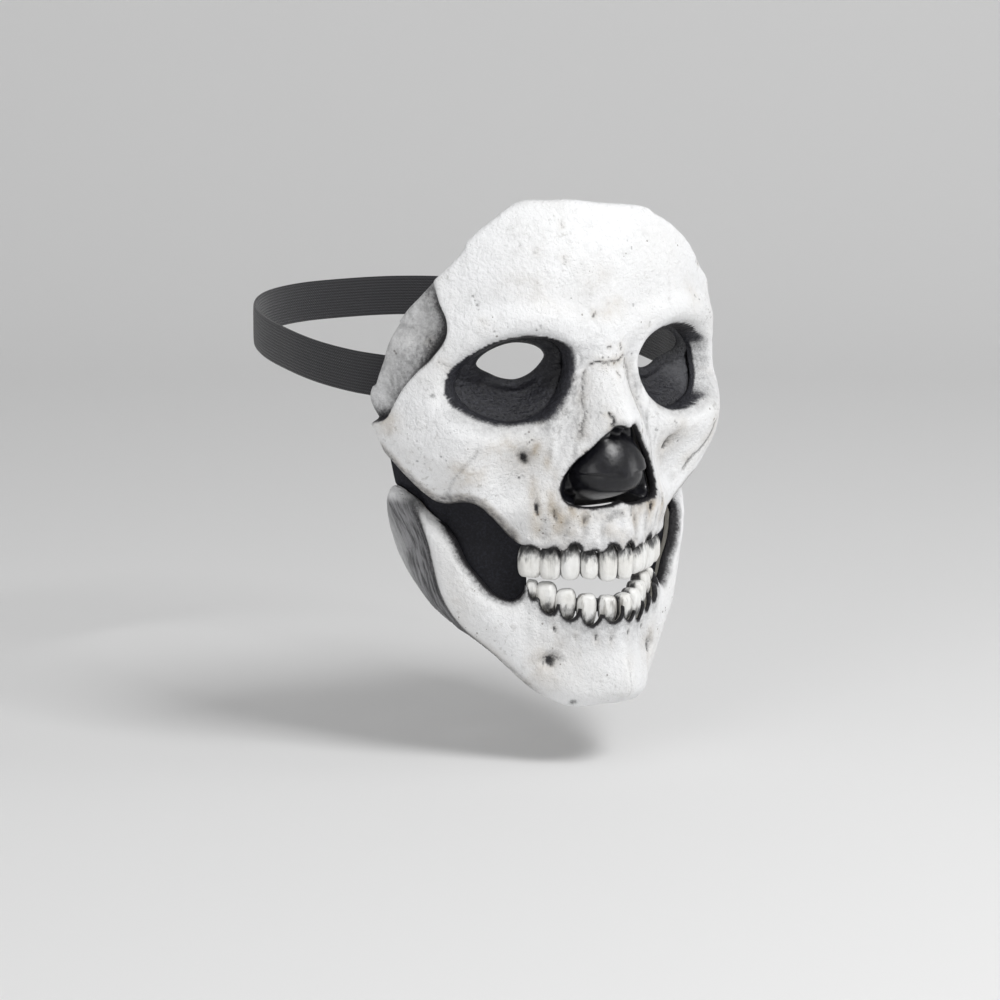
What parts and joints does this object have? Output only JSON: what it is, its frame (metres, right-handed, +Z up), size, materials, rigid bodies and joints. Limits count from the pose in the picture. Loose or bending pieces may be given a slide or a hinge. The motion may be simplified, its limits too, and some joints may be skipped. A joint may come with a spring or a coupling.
{
  "type": "skull mask",
  "caption": "Moulded latex skull face mask: cranium and jaw shells with teeth, dark eye, nose and cheek pieces behind the openings, held on by an elastic head band.",
  "frame": {"origin": "inside of the nose bridge on the middle line, where the mask rests on the wearer's face", "axes": "+Z up, the face looks along -Y, +X towards the wearer's left"},
  "size_m": [0.1486, 0.2049, 0.1877],
  "materials": {
    "bone_latex": "matt off-white paint with grey and ochre shading",
    "tooth_latex": "half-matt off-white, darkened at the roots",
    "socket_latex": "matt charcoal",
    "nose_latex": "satin black",
    "cheek_latex": "matt blue-black",
    "elastic": "woven black elastic"
  },
  "bodies": {
    "root": {"skull_shell": "bone_latex", "jaw_shell": "bone_latex", "upper_teeth": "tooth_latex", "lower_teeth": "tooth_latex", "eye_surround_right": "socket_latex", "eye_surround_left": "socket_latex", "nose_cover": "nose_latex", "cheek_panel_right": "cheek_latex", "cheek_panel_left": "cheek_latex", "head_strap": "elastic"}
  },
  "joints": []
}
